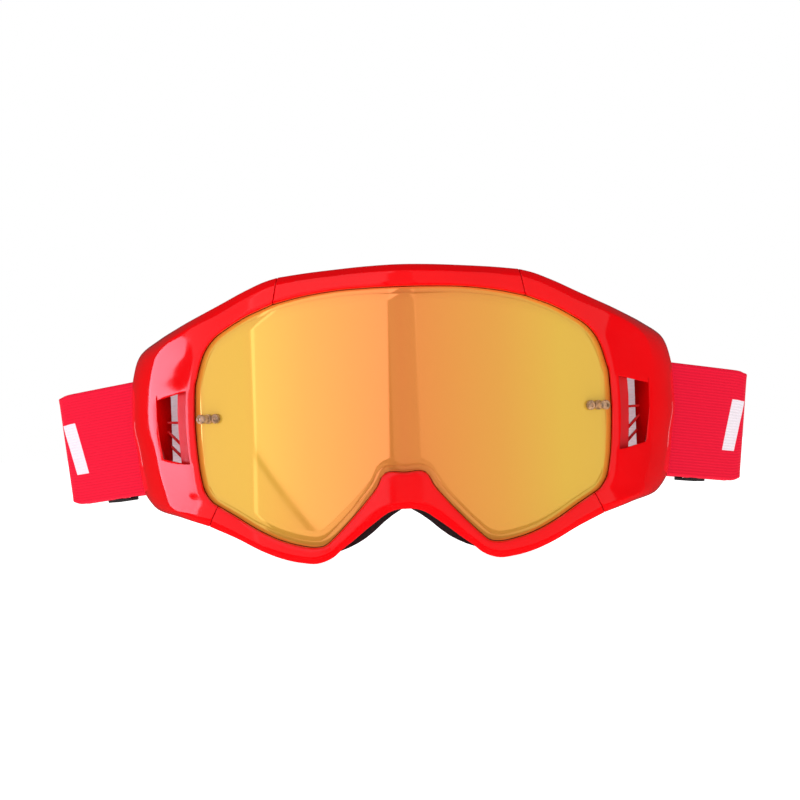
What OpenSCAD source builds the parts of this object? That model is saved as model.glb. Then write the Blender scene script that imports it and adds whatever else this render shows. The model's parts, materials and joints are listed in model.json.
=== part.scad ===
// Motorcycle goggles: curved mirrored lens, snap-on front shells, layered face foam, elastic strap.
// +Z is up, the lens faces -Y, and the origin is the middle of the foam's face seat.

/* [Frame] */
// Width across the two outriggers
frame_w = 192; // [186:1:198]
// Height from the top of the brow to the bottom of the cheek lobes
frame_h = 96; // [93:1:99]
// Radius of the lens and of the frame's front, seen from above
front_r = 102; // [99:1:110]
// How far the front of the lens is ahead of the origin
lens_reach = 60; // [58:1:63]
// Thickness of the front shells' face
face_t = 4.3; // [3.5:0.1:4.3]
// Depth of the front shells' outer wall
shell_depth = 16; // [12:0.5:16]
// Thickness of the front shells' outer wall
shell_t = 2.2; // [1.6:0.1:2.2]

/* [Lens] */
// Thickness of the lens
lens_t = 1.2; // [0.8:0.1:1.2]
// Gap between the lens and its opening
lens_gap = 0.35; // [0.3:0.05:0.5]
// Radius of a tear-off post's shaft
post_r = 1.4; // [1.2:0.05:1.5]
// Length of a tear-off post's shaft
post_len = 2.2; // [1.6:0.1:3]

/* [Foam] */
// Thickness of the firm foam on the frame
base_foam_t = 6; // [4:0.5:7]
// Thickness of the soft foam
soft_foam_t = 7; // [5:0.5:8]
// Thickness of the fleece that meets the face
fleece_t = 3; // [2:0.5:3.5]

/* [Strap] */
// Width of the strap
strap_w = 41; // [38:0.5:41]
// Thickness of the strap
strap_t = 1.6; // [1.2:0.1:1.8]
// Angle of the strap's sides, outwards from straight across
splay = 45; // [42:1:50]
// Length of the doubled-back end inside the strap
tail_len = 46; // [45:1:48]
// Length of the slider along the strap
slider_len = 12; // [10:1:12]

/* [Hidden] */
$fn = 64;
reach = 120;                       // larger than the object in any direction
clear = 0.3;                       // gap between pieces that move apart

// Front-view outlines, right half from the top of the middle to the bottom of it.
kx = frame_w / 192;
kz = frame_h / 96;
outer_half = [[0, 47.6], [21.3, 46.6], [39.6, 45.3], [49.1, 42.5], [62.8, 36.4], [75.2, 32.2],
              [86.6, 27.4], [92.4, 23.4], [95.2, 17.8], [96, 12], [95.3, -6.6], [93.2, -24.3],
              [89.4, -29.8], [73.5, -34], [65.7, -36.1], [56.8, -39.8], [47.4, -44.4],
              [35.2, -48], [30.1, -48.4], [25.2, -46.8], [17.3, -41.1], [5.5, -32.4], [0, -31.5]];
opening_half = [[0, 40.3], [21.2, 39.7], [31.8, 38.4], [39.5, 37.1], [49.1, 33.7], [57.4, 29.6],
                [62.4, 26.8], [66.7, 20.9], [69.6, 9.5], [70, 0], [68.9, -15.9], [67.8, -22.9],
                [63.9, -28.2], [56.1, -32.7], [48.8, -37.1], [36.2, -42.1], [29.5, -43.1],
                [24.5, -40.9], [16.9, -33.2], [9.1, -24.4], [7, -19.8], [0, -19.7]];
seat_half = [[0, 45], [21, 44.2], [40, 42.3], [50, 39.2], [62, 33.2], [71, 26], [76.5, 17.5],
             [78.5, 8], [78.5, -12], [76, -22], [70, -30], [62, -35], [55, -38.4], [47, -42.4],
             [36, -45.8], [30, -46.6], [24, -46], [18, -43.8], [12.5, -40.6], [6, -34.8], [0, -31.2]];
eye_half = [[0, 31], [22, 30.5], [40, 28.5], [52, 24], [60, 17], [64, 8], [64, -10], [60, -19],
            [52, -25.5], [44, -30.5], [37, -33.5], [31, -34], [25.5, -32], [17, -25], [9, -18.6],
            [4.5, -17], [0, -17]];

function mirrored(half) =
    [for (p = half) [p[0] * kx, p[1] * kz],
     for (i = [len(half) - 2:-1:1]) [-half[i][0] * kx, half[i][1] * kz]];
function unit(v) = v / norm(v);
// Outline moved inwards by d, with mitred corners. Points run clockwise.
function inset(pts, d) =
    let (n = len(pts))
    [for (i = [0:n - 1])
        let (a = unit(pts[i] - pts[(i + n - 1) % n]), b = unit(pts[(i + 1) % n] - pts[i]),
             na = [a[1], -a[0]], nb = [b[1], -b[0]])
        pts[i] + d * (na + nb) / (1 + na * nb)];
// Outline with each corner cut back to a quarter of its two edges.
function softened(pts) =
    let (n = len(pts))
    [for (i = [0:n - 1]) for (t = [0.25, 0.75]) pts[i] * (1 - t) + pts[(i + 1) % n] * t];

outer = mirrored(outer_half);
opening = mirrored(opening_half);
seat = mirrored(seat_half);
eye = mirrored(eye_half);

// Depths of the curved surfaces, each where it crosses the middle.
lens_y = -lens_reach;
shell_y = lens_y - 2;
face_back_y = shell_y + face_t;
wall_back_y = shell_y + shell_depth;
ledge_y = lens_y + 2.5;
ledge_t = 2.3;
seal_t = ledge_y - (lens_y + lens_t) - clear;
seat_y = lens_y + 20;
flange_t = 3;
frame_wall_t = 3;

// Outrigger side band, an arc that carries the front on round the temple.
band_r = 32;
band_t = 3;
band_c = [96 * kx - band_r, 9];
band_end_y = 4.5;
ridge_x = 87 * kx;

// Strap bar and the strap's path, seen from above, on the right.
bar_r = 1.6;
bar_c = [86.3 * kx, 9.6];
strap_z = -4.7;
bar_top = strap_z + strap_w / 2 + 4.4;
bar_bottom = strap_z - strap_w / 2 - 4.6;
wrap_r = bar_r + 0.15 + strap_t / 2;       // middle of the strap round the bar
droop = 4.8;                               // degrees that the sides run down by
tail_drop = 0.7;                           // how much lower the inner layer lies
end_len = 14;                              // outer layer that belongs to the strap's end
fold_r = 5;
fold_x = 127.3 * kx;
bow = 8;                                   // degrees that the back bows out at each fold
side_len = (fold_x - strap_t / 2 - fold_r * (1 - sin(splay)) - bar_c[0] - wrap_r * sin(splay))
           / cos(splay);
along = [cos(splay), sin(splay)];
outward = [sin(splay), -cos(splay)];
fold_start = bar_c + outward * wrap_r + along * side_len;
fold_c = fold_start - outward * fold_r;
back_z = strap_z - side_len * tan(droop);
back_start = fold_c + fold_r * [sin(180 - bow), -cos(180 - bow)];
back_r = back_start[0] / sin(bow);
back_part = 1 - clear / (back_r * bow * PI / 180);
hem_len = 6;
slider_at = 29.5;
slider_bar = 3;

// ---- shared shapes ----

// A front-view outline carried through the whole depth.
module prism(pts) {
    translate([0, reach, 0]) rotate([90, 0, 0]) linear_extrude(height = 2 * reach) polygon(pts);
}

// Everything behind the curved surface that crosses the middle at y.
module behind(y) {
    translate([0, y + front_r, -reach]) cylinder(r = front_r, h = 2 * reach, $fn = 128);
}

// The curved layer between two depths.
module layer(front, back) {
    difference() {
        behind(front);
        behind(back);
    }
}

module box(low, high) {
    translate(low) cube(high - low);
}

// The right side, and its mirror image.
module left_side() {
    mirror([1, 0, 0]) children();
}

// Flat face and outer wall that the brow, lower shell and outriggers are cut from.
module front_shell() {
    intersection() {
        difference() {
            prism(softened(outer));
            prism(softened(opening));
        }
        layer(shell_y, face_back_y);
    }
    intersection() {
        difference() {
            prism(softened(outer));
            prism(softened(inset(outer, shell_t)));
        }
        layer(shell_y, wall_back_y);
    }
}

// Zones of the front view that the shells are cut to, with a fine seam between them.
seam_gap = 0.15;
module brow_zone() {
    prism([[37.2 - seam_gap, 60], [43.2 - seam_gap, 30], [-43.2 + seam_gap, 30],
           [-37.2 + seam_gap, 60]]);
}
module side_zone() {
    prism([[37.2 + seam_gap, 60], [ridge_x, 60], [ridge_x, -60], [73.2, -60],
           [61.2 + seam_gap, -24 + seam_gap], [55, 10], [43.2 + seam_gap, 30]]);
}
module lower_zone() {
    prism([[50, 0], [61.2, -24 - seam_gap], [73.2 - seam_gap, -60], [-73.2 + seam_gap, -60],
           [-61.2, -24 - seam_gap], [-50, 0]]);
}

// ---- frame ----

module tub(wall_inset) {
    intersection() {
        prism(softened(inset(outer, 2.5 + wall_inset)));
        prism(softened(inset(opening, wall_inset - 7)));
    }
}

// Slots that let air through the brow and cheek walls.
vent_w = 15;
vent_x = [11, 29];
module vent_slots() {
    for (x = vent_x, side = [-1, 1])
        box([side * x - vent_w / 2, lens_y + 8.5, 36], [side * x + vent_w / 2, lens_y + 14.5, 60]);
    for (side = [-1, 1])
        translate([side * 47, lens_y + 20, -42]) rotate([0, side * -24, 0])
            box([-9, -4, -8], [9, 2.5, 8]);
}

module face_frame() {
    color("firebrick") {
        difference() {
            union() {
                intersection() {
                    difference() {
                        tub(0);
                        tub(frame_wall_t);
                    }
                    layer(ledge_y, seat_y);
                }
                intersection() {
                    difference() {
                        tub(0);
                        prism(softened(inset(opening, 2.2)));
                    }
                    layer(ledge_y, ledge_y + ledge_t);
                }
                intersection() {
                    difference() {
                        prism(softened(seat));
                        prism(softened(eye));
                    }
                    layer(seat_y - flange_t, seat_y);
                }
            }
            vent_slots();
        }
    }
}

module brow_shell() {
    color("red") intersection() {
        front_shell();
        brow_zone();
    }
}

module lower_shell() {
    color("red") intersection() {
        front_shell();
        lower_zone();
    }
}

// Tall window between the lens rim and the side band.
window = [[71.2, 8.2], [72.6, 9.7], [82.4, 7.6], [83.8, 5.8], [83.8, -10.8], [82.4, -12.8],
          [72.6, -15.1], [71.2, -13.7]];

// Plate that carries one end of the strap bar, edge_x is how far out it reaches.
module bar_lug(low, high, r, edge_x) {
    translate([0, 0, low]) linear_extrude(height = high - low) union() {
        translate(bar_c) circle(r = r);
        polygon([[bar_c[0] - r, bar_c[1]], [83.4 * kx, -8], [edge_x - 2.4, -9], [edge_x, 2],
                 [edge_x, bar_c[1] - 1]]);
    }
}

module outrigger() {
    color("red") difference() {
        union() {
            intersection() {
                front_shell();
                side_zone();
            }
            intersection() {
                prism(softened(outer));
                difference() {
                    translate([band_c[0], band_c[1], -reach])
                        cylinder(r = band_r, h = 2 * reach, $fn = 128);
                    translate([band_c[0], band_c[1], -reach])
                        cylinder(r = band_r - band_t, h = 2 * reach, $fn = 128);
                }
                box([ridge_x - 1.2, -40, -reach], [reach, band_end_y, reach]);
            }
            bar_lug(bar_top - 3.4, bar_top, 2.8, 93.5 * kx);
            bar_lug(bar_bottom, bar_bottom + 3, 2.4, 90.5 * kx);
            box([78.6 * kx, -15, 0.2], [ridge_x, -12.4, 1.8]);
            translate([81.6 * kx, -13.7, -9.4]) rotate([0, -22, 0])
                box([-3.2, -1.2, -0.6], [4, 1.2, 0.6]);
        }
        prism([for (p = window) [p[0] * kx, p[1] * kz]]);
        translate([bar_c[0], bar_c[1], bar_bottom + 0.8])
            cylinder(r = bar_r, h = bar_top - bar_bottom - 1.6);
    }
}

module outrigger_right() {
    outrigger();
}
module outrigger_left() {
    left_side() outrigger();
}

module strap_bar() {
    color("silver") translate([bar_c[0], bar_c[1], bar_bottom + 0.8])
        cylinder(r = bar_r, h = bar_top - bar_bottom - 1.6);
}
module strap_bar_right() {
    strap_bar();
}
module strap_bar_left() {
    left_side() strap_bar();
}

// Thin open-cell foam inside the frame, behind the vent slots.
module vent_foam(zone) {
    color("dimgray") intersection() {
        difference() {
            tub(frame_wall_t + 0.05);
            tub(frame_wall_t + 2.5);
        }
        layer(ledge_y + ledge_t + 0.05, seat_y - flange_t - 0.05);
        prism(zone);
    }
}
module vent_foam_top() {
    vent_foam([[-38, 25], [-38, 60], [38, 60], [38, 25]]);
}
module vent_foam_lower_right() {
    vent_foam([[30, -60], [34, -34], [56, -24], [66, -40]]);
}
module vent_foam_lower_left() {
    left_side() vent_foam_lower_right();
}

// ---- lens ----

module lens() {
    color("orange") {
        intersection() {
            prism(softened(inset(opening, lens_gap)));
            layer(lens_y + 0.4, lens_y + lens_t);
        }
        intersection() {
            prism(softened(inset(opening, lens_gap + 1.7)));
            layer(lens_y, lens_y + 0.5);
        }
    }
}

module lens_seal() {
    color("dimgray") intersection() {
        difference() {
            prism(softened(inset(opening, 0.5)));
            prism(softened(inset(opening, 2.2)));
        }
        layer(ledge_y - seal_t, ledge_y);
    }
}

// Three small rivet heads in a row on a thin strip, the middle one with the post for the film.
post_x = 64.7 * kx;
rivet_pitch = 3.5;
rivet_r = 1.6;
rivet_h = 1.4;
strip_h = 0.6;
strip_z = 0.9;
post_turn = asin(post_x / front_r);
module tearoff_posts() {
    color("tan") translate([0, lens_y + front_r, 0]) rotate([0, 0, post_turn])
        translate([0, -front_r - 0.02, 0]) {
            for (i = [-1, 0, 1])
                translate([i * rivet_pitch, 0, 0]) rotate([90, 0, 0])
                    cylinder(r = rivet_r, h = rivet_h);
            box([-rivet_pitch, -strip_h, -strip_z], [rivet_pitch, 0, strip_z]);
            rotate([90, 0, 0]) cylinder(r = post_r, h = rivet_h + post_len);
        }
}
module tearoff_posts_right() {
    tearoff_posts();
}
module tearoff_posts_left() {
    left_side() tearoff_posts();
}

// ---- face foam ----

module foam_ring(front, back, trim) {
    intersection() {
        difference() {
            prism(softened(inset(seat, trim)));
            prism(softened(inset(eye, -trim)));
        }
        layer(front, back);
    }
}
module foam_base() {
    color("black") foam_ring(seat_y, seat_y + base_foam_t, 0);
}
module foam_soft() {
    color("black") foam_ring(seat_y + base_foam_t, seat_y + base_foam_t + soft_foam_t, 0.8);
}
module fleece_liner() {
    color("black") foam_ring(seat_y + base_foam_t + soft_foam_t,
                             seat_y + base_foam_t + soft_foam_t + fleece_t, 1.6);
}

// ---- strap ----

// A station on the strap's path: [x, y], the direction across its thickness, height.
function outer_at(s) = [bar_c + outward * wrap_r + along * s, outward, strap_z - s * tan(droop)];
function tail_at(s) = [bar_c - outward * wrap_r + along * s, -outward,
                       strap_z - tail_drop - s * tan(droop)];
function wrap_at(t) = let (a = splay - 90 - 180 * t)
    [bar_c + wrap_r * [cos(a), sin(a)], [cos(a), sin(a)], strap_z - tail_drop * t];
function fold_at(t) = let (h = splay + (180 - bow - splay) * t, n = [sin(h), -cos(h)])
    [fold_c + fold_r * n, n, back_z];
function back_at(t) = let (h = 180 + bow * t, n = [sin(h), -cos(h)])
    [[0, back_start[1] - back_r * cos(bow)] + back_r * n, n, back_z];

module ribbon(stations) {
    half_t = strap_t / 2;
    half_w = strap_w / 2;
    n = len(stations);
    points = [for (s = stations) for (c = [[1, 1], [-1, 1], [-1, -1], [1, -1]])
        [s[0][0] + s[1][0] * half_t * c[0], s[0][1] + s[1][1] * half_t * c[0],
         s[2] + half_w * c[1]]];
    sides = [for (i = [0:n - 2]) for (j = [0:3])
        let (a = 4 * i + j, b = 4 * i + (j + 1) % 4)
        each [[a, b, b + 4], [a, b + 4, a + 4]]];
    polyhedron(points, concat(sides, [[3, 2, 1, 0]], [[4 * n - 4, 4 * n - 3, 4 * n - 2, 4 * n - 1]]));
}

module strap_end() {
    color("crimson") {
        ribbon([tail_at(tail_len), for (i = [0:12]) wrap_at(1 - i / 12), outer_at(end_len)]);
        hem = tail_at(tail_len);
        translate([hem[0][0], hem[0][1], hem[2]]) rotate([0, droop, splay])
            box([-hem_len, strap_t / 2 - 0.05, -strap_w / 2 + 0.3],
                [-0.2, strap_t * 1.5, strap_w / 2 - 0.3]);
    }
}
module strap_end_right() {
    strap_end();
}
module strap_end_left() {
    left_side() strap_end();
}

module strap_side() {
    color("crimson") ribbon([outer_at(end_len), for (i = [0:8]) fold_at(i / 8)]);
}
module strap_side_right() {
    strap_side();
}
module strap_side_left() {
    left_side() strap_side();
}

// The back starts just past each fold, clear of the side that it stretches away from.
module strap_back() {
    color("crimson") ribbon([for (i = [-10:10]) back_at(i / 10 * back_part)]);
}

// Ladder slider on the inner layer: two bars inside, one bar outside, rims at both edges.
slider_gap = 0.35;
slider_rim = 1.6;
module strap_slider() {
    inner = strap_t / 2 + slider_gap;
    middle_z = strap_w / 2 + slider_gap + slider_rim / 2;
    middle = tail_at(slider_at);
    color("black")
        translate([middle[0][0], middle[0][1], middle[2]]) rotate([0, droop, splay]) {
            for (side = [-1, 1]) {
                box([side * (slider_len - slider_bar) / 2 - slider_bar / 2, inner, -middle_z],
                    [side * (slider_len - slider_bar) / 2 + slider_bar / 2, inner + 1.5, middle_z]);
                box([-slider_len / 2, -inner - 1.3, side * middle_z - slider_rim / 2],
                    [slider_len / 2, inner + 1.5, side * middle_z + slider_rim / 2]);
            }
            box([-slider_bar / 2, -inner - 1.3, -middle_z], [slider_bar / 2, -inner, middle_z]);
        }
}
module strap_slider_right() {
    strap_slider();
}
module strap_slider_left() {
    left_side() strap_slider();
}

face_frame();
brow_shell();
lower_shell();
outrigger_left();
outrigger_right();
strap_bar_left();
strap_bar_right();
vent_foam_top();
vent_foam_lower_left();
vent_foam_lower_right();
lens_seal();
lens();
tearoff_posts_left();
tearoff_posts_right();
foam_base();
foam_soft();
fleece_liner();
strap_end_left();
strap_end_right();
strap_side_left();
strap_side_right();
strap_back();
strap_slider_left();
strap_slider_right();
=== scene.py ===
import json
import math

import bmesh
import bpy
from bpy.props import FloatProperty, FloatVectorProperty, IntProperty, PointerProperty
from mathutils import Matrix, Quaternion, Vector


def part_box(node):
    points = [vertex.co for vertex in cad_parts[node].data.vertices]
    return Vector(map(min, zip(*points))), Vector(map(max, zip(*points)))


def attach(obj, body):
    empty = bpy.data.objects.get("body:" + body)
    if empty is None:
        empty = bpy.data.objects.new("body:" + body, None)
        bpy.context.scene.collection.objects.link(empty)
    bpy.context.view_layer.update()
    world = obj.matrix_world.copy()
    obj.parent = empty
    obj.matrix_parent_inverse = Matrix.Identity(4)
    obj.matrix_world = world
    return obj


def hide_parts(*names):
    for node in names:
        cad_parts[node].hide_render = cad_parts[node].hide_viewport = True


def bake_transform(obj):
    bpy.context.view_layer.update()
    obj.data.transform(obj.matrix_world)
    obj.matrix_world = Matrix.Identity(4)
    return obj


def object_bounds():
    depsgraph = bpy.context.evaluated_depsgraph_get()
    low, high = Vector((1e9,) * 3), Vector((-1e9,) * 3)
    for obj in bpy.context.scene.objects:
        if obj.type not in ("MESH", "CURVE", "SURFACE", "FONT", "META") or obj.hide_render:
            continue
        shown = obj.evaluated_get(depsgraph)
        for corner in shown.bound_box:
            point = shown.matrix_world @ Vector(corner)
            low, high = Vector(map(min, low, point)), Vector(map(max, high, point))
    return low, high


bl_info = {
    "name": "Motocross goggles",
    "version": (1, 0, 0),
    "blender": (4, 5, 0),
    "location": "3D View > Sidebar > Goggles",
    "description": "Builds the shells, lens, foams and strap of a pair of goggles on their packed frame",
    "category": "Object",
}

MM = 0.001
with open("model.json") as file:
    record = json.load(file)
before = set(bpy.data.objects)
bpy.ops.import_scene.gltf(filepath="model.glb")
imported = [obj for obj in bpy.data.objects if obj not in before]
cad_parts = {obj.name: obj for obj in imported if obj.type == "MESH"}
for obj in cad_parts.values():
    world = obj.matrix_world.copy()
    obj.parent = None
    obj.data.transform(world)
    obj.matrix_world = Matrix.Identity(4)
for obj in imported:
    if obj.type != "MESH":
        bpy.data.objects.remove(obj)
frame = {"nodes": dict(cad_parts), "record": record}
CAD_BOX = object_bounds()
LENS_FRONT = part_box("lens")[0].y
SHELL_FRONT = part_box("lower_shell")[0].y
BAR = (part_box("strap_bar_right")[0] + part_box("strap_bar_right")[1]) / 2
BAND_END = BAR.y - 5.1 * MM      # back edge of the outriggers, clear of the strap on its bar

STRAP_HEIGHT = -4.5 * MM         # height of the strap's middle line on its bars
FOAM_EDGE_Z = -30 * MM           # the frame is black foam below this height
LENS_HALF_WIDTH = 70 * MM        # where the mirror's colour reaches its ends
RIB_PITCH, PICK_PITCH = 1.05 * MM, 0.9 * MM      # distance between the elastic's ribs and picks
POST_PITCH = 3.5 * MM            # distance between the rivet heads of a tear-off post
POST_RADIUS = 1.4 * MM
STRAP_STEPS = 60                 # steps down each broad face of the strap's section
EDGE_POINTS = 3                  # points round each edge of the strap's section


# ---- sizes and colours that a user would change ----

class GogglesShellSettings(bpy.types.PropertyGroup):
    drum_radius: FloatProperty(
        name="Front radius", description="Radius of the curved front, seen from above",
        default=0.102, unit="LENGTH")
    wall_depth: FloatProperty(
        name="Wall depth", description="How far the outer wall reaches back from the front",
        default=0.016, unit="LENGTH")
    rim_depth: FloatProperty(
        name="Rim depth", description="How far the lens opening's rim reaches back",
        default=0.0043, unit="LENGTH")
    wall: FloatProperty(
        name="Wall", description="Thickness of the outer wall", default=0.002, unit="LENGTH")
    edge: FloatProperty(
        name="Edge radius", description="Rounding of the shells' ends and edges",
        default=0.00028, unit="LENGTH")
    column: FloatProperty(
        name="Mesh step", description="Distance between the mesh's columns along a shell",
        default=0.0011, unit="LENGTH")


class GogglesLensSettings(bpy.types.PropertyGroup):
    gap: FloatProperty(
        name="Gap", description="Gap between the lens and its opening", default=0.0002, unit="LENGTH")
    step_in: FloatProperty(
        name="Step inset", description="How far inside the edge the raised middle starts",
        default=0.00205, unit="LENGTH")
    step_height: FloatProperty(
        name="Step height", description="How much the middle stands proud of the border",
        default=0.0004, unit="LENGTH")
    thickness: FloatProperty(
        name="Thickness", description="Thickness of the lens", default=0.0012, unit="LENGTH")
    columns: IntProperty(
        name="Columns", description="Mesh columns across the lens", default=128, min=32)


class GogglesStrapSettings(bpy.types.PropertyGroup):
    width: FloatProperty(
        name="Width", description="Width of the strap", default=0.041, unit="LENGTH")
    thickness: FloatProperty(
        name="Thickness", description="Thickness of the elastic", default=0.0016, unit="LENGTH")
    splay: FloatProperty(
        name="Splay", description="Angle of the sides outwards from straight across",
        default=math.radians(45), subtype="ANGLE")
    droop: FloatProperty(
        name="Droop", description="Angle that the sides run down by",
        default=math.radians(4.8), subtype="ANGLE")
    wrap_gap: FloatProperty(
        name="Wrap gap", description="Gap between the bar and the strap round it",
        default=0.00015, unit="LENGTH")
    fold_radius: FloatProperty(
        name="Fold radius", description="Radius of the strap's fold, at its middle line",
        default=0.005, unit="LENGTH")
    bow: FloatProperty(
        name="Bow", description="Angle that the back bows out by at each fold",
        default=math.radians(8), subtype="ANGLE")
    lean: FloatProperty(
        name="Lean", description="How far the folds lean outwards for each unit up", default=0.105)
    back_rise: FloatProperty(
        name="Back rise", description="How much higher the middle of the back lies than its folds",
        default=0.007, unit="LENGTH")
    tail: FloatProperty(
        name="Tail length", description="Length of the doubled-back end", default=0.046, unit="LENGTH")
    tail_drop: FloatProperty(
        name="Tail drop", description="How much lower the doubled-back end lies",
        default=0.0002, unit="LENGTH")
    tail_narrow: FloatProperty(
        name="Tail narrowing", description="Share of its width that the doubled-back end loses",
        default=0.034)
    hem: FloatProperty(
        name="Hem length", description="Length of the stitched hem", default=0.0042, unit="LENGTH")


class GogglesColourSettings(bpy.types.PropertyGroup):
    shell: FloatVectorProperty(
        name="Shell", description="Colour of the glossy shells", subtype="COLOR",
        default=(0.78, 0.0008, 0.003))
    frame: FloatVectorProperty(
        name="Frame", description="Colour of the flexible frame", subtype="COLOR",
        default=(0.62, 0.004, 0.008))
    # The two mirror colours are a painted reflection hue: the coating's change of hue with viewing angle,
    # painted from the lens's middle to its ends.
    mirror_side: FloatVectorProperty(
        name="Mirror, sides", description="Colour of the lens mirror near its ends", subtype="COLOR",
        default=(0.92, 0.59, 0.072))
    mirror_middle: FloatVectorProperty(
        name="Mirror, middle", description="Colour of the lens mirror at its middle", subtype="COLOR",
        default=(0.95, 0.31, 0.065))
    strap: FloatVectorProperty(
        name="Strap", description="Colour of the strap's outer face", subtype="COLOR",
        default=(0.78, 0.002, 0.03))
    lining: FloatVectorProperty(
        name="Strap lining", description="Colour of the strap's inner face and its print",
        subtype="COLOR", default=(0.84, 0.78, 0.83))


# ---- helpers for meshes ----

def deselect():
    bpy.ops.object.select_all(action="DESELECT")


def pick(obj):
    """Makes obj the only selected object and the active one."""
    deselect()
    obj.select_set(True)
    bpy.context.view_layer.objects.active = obj


def apply_place(obj):
    """Puts the object's place into its mesh, so that it sits at the origin."""
    pick(obj)
    bpy.ops.object.transform_apply(location=True, rotation=True, scale=True)


def apply_modifier(obj, kind, name, **settings):
    """Adds one modifier and applies it."""
    pick(obj)
    modifier = obj.modifiers.new(name, kind)
    for key, value in settings.items():
        setattr(modifier, key, value)
    bpy.ops.object.modifier_apply(modifier=modifier.name)


def bevel(obj, width, segments=2, angle=60):
    """Rounds the edges that are sharper than an angle in degrees."""
    apply_modifier(obj, "BEVEL", "rounded_edges", width=width, segments=segments,
                   limit_method="ANGLE", angle_limit=math.radians(angle), use_clamp_overlap=True)


def edit_all(obj, operator, **settings):
    """Runs one mesh operator on the whole of obj's mesh."""
    pick(obj)
    bpy.ops.object.mode_set(mode="EDIT")
    bpy.ops.mesh.select_all(action="SELECT")
    operator(**settings)
    bpy.ops.object.mode_set(mode="OBJECT")


def merge(obj, distance=1e-6):
    """Merges vertices that lie on each other."""
    edit_all(obj, bpy.ops.mesh.remove_doubles, threshold=distance)


def face_outwards(obj):
    """Points the faces of a closed mesh outwards."""
    edit_all(obj, bpy.ops.mesh.normals_make_consistent, inside=False)


def smooth(obj, angle=40):
    """Shades obj smooth, except over edges sharper than an angle in degrees."""
    pick(obj)
    bpy.ops.object.shade_smooth_by_angle(angle=math.radians(angle))


def join(pieces, name):
    """Joins the pieces into the first one and names it."""
    deselect()
    for piece in pieces:
        piece.select_set(True)
    bpy.context.view_layer.objects.active = pieces[0]
    if len(pieces) > 1:
        bpy.ops.object.join()
    pieces[0].name = name
    pieces[0].data.name = name
    return pieces[0]


def own_copy(obj, name):
    """A copy of obj with its own mesh."""
    copy = obj.copy()
    copy.data = obj.data.copy()
    copy.name = name
    copy.data.name = name
    bpy.context.scene.collection.objects.link(copy)
    return copy


def mirrored_copy(obj, name):
    """A copy of obj on the other side of the centre plane, with its own mesh."""
    copy = own_copy(obj, name)
    copy.data.transform(Matrix.Scale(-1, 4, Vector((1, 0, 0))))
    copy.data.flip_normals()
    return copy


def placed_grid(name, columns, rows, place, closed=False):
    """A grid of points, each moved to place(column, row). Closed grids join their last row to the first."""
    deselect()
    lines = rows + 1 if closed else rows
    bpy.ops.mesh.primitive_grid_add(x_subdivisions=columns - 1, y_subdivisions=lines - 1, size=1)
    obj = bpy.context.object
    obj.name = name
    obj.data.name = name
    if len(obj.data.vertices) != columns * lines:
        raise RuntimeError("the grid has another number of points than it was asked for")
    for vertex in obj.data.vertices:
        column = round((vertex.co.x + 0.5) * (columns - 1))
        row = round((vertex.co.y + 0.5) * (lines - 1))
        vertex.co = place(column, row % rows)
    return obj


def close_ends(obj):
    """Merges a closed grid's seam, fills its two open ends and points its faces outwards."""
    merge(obj)
    pick(obj)
    bpy.ops.object.mode_set(mode="EDIT")
    bpy.ops.mesh.select_all(action="DESELECT")
    bpy.ops.mesh.select_mode(type="EDGE")
    bpy.ops.mesh.select_non_manifold()
    bpy.ops.mesh.edge_face_add()
    bpy.ops.mesh.select_mode(type="VERT")
    bpy.ops.object.mode_set(mode="OBJECT")
    face_outwards(obj)


def plate(name, outline, low, high, axis="Z"):
    """A flat plate with a front outline, from low to high along an axis."""
    deselect()
    bpy.ops.mesh.primitive_circle_add(vertices=len(outline), fill_type="NGON", radius=1)
    obj = bpy.context.object
    obj.name = name
    for vertex, point in zip(obj.data.vertices, outline):
        vertex.co = (point[0], point[1], low) if axis == "Z" else (point[0], low, point[1])
    step = (0, 0, high - low) if axis == "Z" else (0, high - low, 0)
    edit_all(obj, bpy.ops.mesh.extrude_region_move, TRANSFORM_OT_translate={"value": step})
    face_outwards(obj)
    return obj


def copy_of_node(node, name):
    """A merged copy of a CAD node's mesh, as a new object."""
    source = frame["nodes"][node]
    mesh = source.data.copy()
    mesh.name = name
    copy = bpy.data.objects.new(name, mesh)
    bpy.context.scene.collection.objects.link(copy)
    mesh.materials.clear()
    merge(copy, 2e-6)
    return copy


def finish(obj, body, slot, materials, *replaced):
    """Gives a finished piece its materials and its body, and hides the nodes that it stands for. Its slot
    is not used.
    """
    if not obj.data.materials:
        for material in materials:
            obj.data.materials.append(material)
    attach(obj, body)
    if replaced:
        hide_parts(*replaced)
    return obj


# ---- helpers for materials ----

def material(name, **sockets):
    """A new material whose shader has the given constant values."""
    made = bpy.data.materials.new(name)
    made.use_nodes = True
    shader = made.node_tree.nodes["Principled BSDF"]
    for key, value in sockets.items():
        shader.inputs[key.replace("_", " ")].default_value = value
    return made


def add_node(made, kind, **settings):
    """A new node in the material, with its settings and, by number or name, its inputs."""
    node = made.node_tree.nodes.new(kind)
    for key, value in settings.items():
        if key == "inputs":
            for socket, amount in value.items():
                node.inputs[socket].default_value = amount
        else:
            setattr(node, key, value)
    return node


def link(made, source, target):
    made.node_tree.links.new(source, target)


def shader_of(made):
    return made.node_tree.nodes["Principled BSDF"]


def plug(made, part, socket):
    """Puts a number on a socket, or links a value to it."""
    if isinstance(part, (int, float)):
        socket.default_value = part
    else:
        link(made, part, socket)


def paint(made, colour):
    link(made, colour, shader_of(made).inputs["Base Color"])


def object_place(made):
    """The piece's own coordinates."""
    return add_node(made, "ShaderNodeTexCoord").outputs["Object"]


def axes_of(made, vector):
    """The X, Y and Z outputs of a vector."""
    split = add_node(made, "ShaderNodeSeparateXYZ")
    link(made, vector, split.inputs["Vector"])
    return split.outputs


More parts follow.
